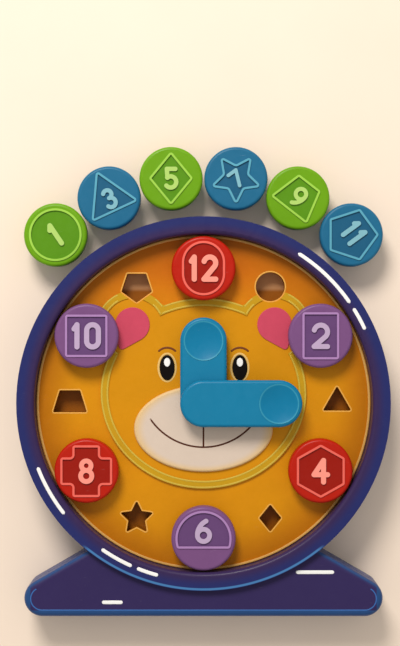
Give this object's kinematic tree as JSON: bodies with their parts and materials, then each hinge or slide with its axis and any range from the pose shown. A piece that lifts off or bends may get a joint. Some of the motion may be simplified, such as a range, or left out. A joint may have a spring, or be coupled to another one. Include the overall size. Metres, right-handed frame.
{
  "type": "clock puzzle",
  "caption": "Toddler's shape-sorting teaching clock: round housing on a foot, bear-faced dial with shaped sockets, two turning hands and lift-out number pieces.",
  "frame": {"origin": "on the hands' axis, in the plane of the flat back that the clock lies on", "axes": "+Z out of the dial, +Y towards twelve, +X towards three"},
  "size_m": [0.224, 0.2838, 0.0383],
  "materials": {
    "housing": "smooth moulded navy ABS",
    "dial": "smooth moulded amber ABS",
    "head": "moulded amber ABS with a yellow-green tinted rim",
    "inner_ear": "smooth pink inlay",
    "eye": "glossy black inlay",
    "muzzle": "satin cream moulding, brown in the mouth groove",
    "hands": "smooth moulded cyan ABS",
    "nylon": "natural nylon",
    "steel": "zinc-plated steel",
    "number_red": "moulded red plastic, outline and figure in a lighter tint",
    "number_purple": "moulded purple plastic, outline and figure in a lighter tint",
    "number_green": "moulded green plastic, outline and figure in a lighter tint",
    "number_blue": "moulded blue plastic, outline and figure in a lighter tint"
  },
  "bodies": {
    "housing": {"rear_housing": "housing", "front_bezel": "housing", "dial_plate": "dial", "hub_bush": "nylon", "bear_head": "head", "left_inner_ear": "inner_ear", "right_inner_ear": "inner_ear", "left_eye": "eye", "right_eye": "eye", "muzzle": "muzzle", "housing_screws": "steel"},
    "hour_hand": {"hour_hand": "hands", "hour_retaining_ring": "nylon"},
    "minute_hand": {"minute_hand": "hands", "friction_washer": "nylon", "spindle_washer": "steel", "spindle_screw": "steel"},
    "number_piece_1": {"number_piece_1": "number_green"},
    "number_piece_2": {"number_piece_2": "number_purple"},
    "number_piece_3": {"number_piece_3": "number_blue"},
    "number_piece_4": {"number_piece_4": "number_red"},
    "number_piece_5": {"number_piece_5": "number_green"},
    "number_piece_6": {"number_piece_6": "number_purple"},
    "number_piece_7": {"number_piece_7": "number_blue"},
    "number_piece_8": {"number_piece_8": "number_red"},
    "number_piece_9": {"number_piece_9": "number_green"},
    "number_piece_10": {"number_piece_10": "number_purple"},
    "number_piece_11": {"number_piece_11": "number_blue"},
    "number_piece_12": {"number_piece_12": "number_red"}
  },
  "joints": [
    {"name": "hour_hand_turn", "type": "hinge", "parent": "housing", "child": "hour_hand", "pos_m": [0, 0, 0.029], "axis": [0, 0, -1], "continuous": true},
    {"name": "minute_hand_turn", "type": "hinge", "parent": "housing", "child": "minute_hand", "pos_m": [0, 0, 0.035], "axis": [0, 0, -1], "continuous": true},
    {"name": "number_piece_1_lift", "type": "slide", "parent": "housing", "child": "number_piece_1", "axis": [0, 0, 1], "range_m": [0, 0.045]},
    {"name": "number_piece_2_lift", "type": "slide", "parent": "housing", "child": "number_piece_2", "axis": [0, 0, 1], "range_m": [0, 0.045]},
    {"name": "number_piece_3_lift", "type": "slide", "parent": "housing", "child": "number_piece_3", "axis": [0, 0, 1], "range_m": [0, 0.045]},
    {"name": "number_piece_4_lift", "type": "slide", "parent": "housing", "child": "number_piece_4", "axis": [0, 0, 1], "range_m": [0, 0.045]},
    {"name": "number_piece_5_lift", "type": "slide", "parent": "housing", "child": "number_piece_5", "axis": [0, 0, 1], "range_m": [0, 0.045]},
    {"name": "number_piece_6_lift", "type": "slide", "parent": "housing", "child": "number_piece_6", "axis": [0, 0, 1], "range_m": [0, 0.045]},
    {"name": "number_piece_7_lift", "type": "slide", "parent": "housing", "child": "number_piece_7", "axis": [0, 0, 1], "range_m": [0, 0.045]},
    {"name": "number_piece_8_lift", "type": "slide", "parent": "housing", "child": "number_piece_8", "axis": [0, 0, 1], "range_m": [0, 0.045]},
    {"name": "number_piece_9_lift", "type": "slide", "parent": "housing", "child": "number_piece_9", "axis": [0, 0, 1], "range_m": [0, 0.045]},
    {"name": "number_piece_10_lift", "type": "slide", "parent": "housing", "child": "number_piece_10", "axis": [0, 0, 1], "range_m": [0, 0.045]},
    {"name": "number_piece_11_lift", "type": "slide", "parent": "housing", "child": "number_piece_11", "axis": [0, 0, 1], "range_m": [0, 0.045]},
    {"name": "number_piece_12_lift", "type": "slide", "parent": "housing", "child": "number_piece_12", "axis": [0, 0, 1], "range_m": [0, 0.045]}
  ]
}
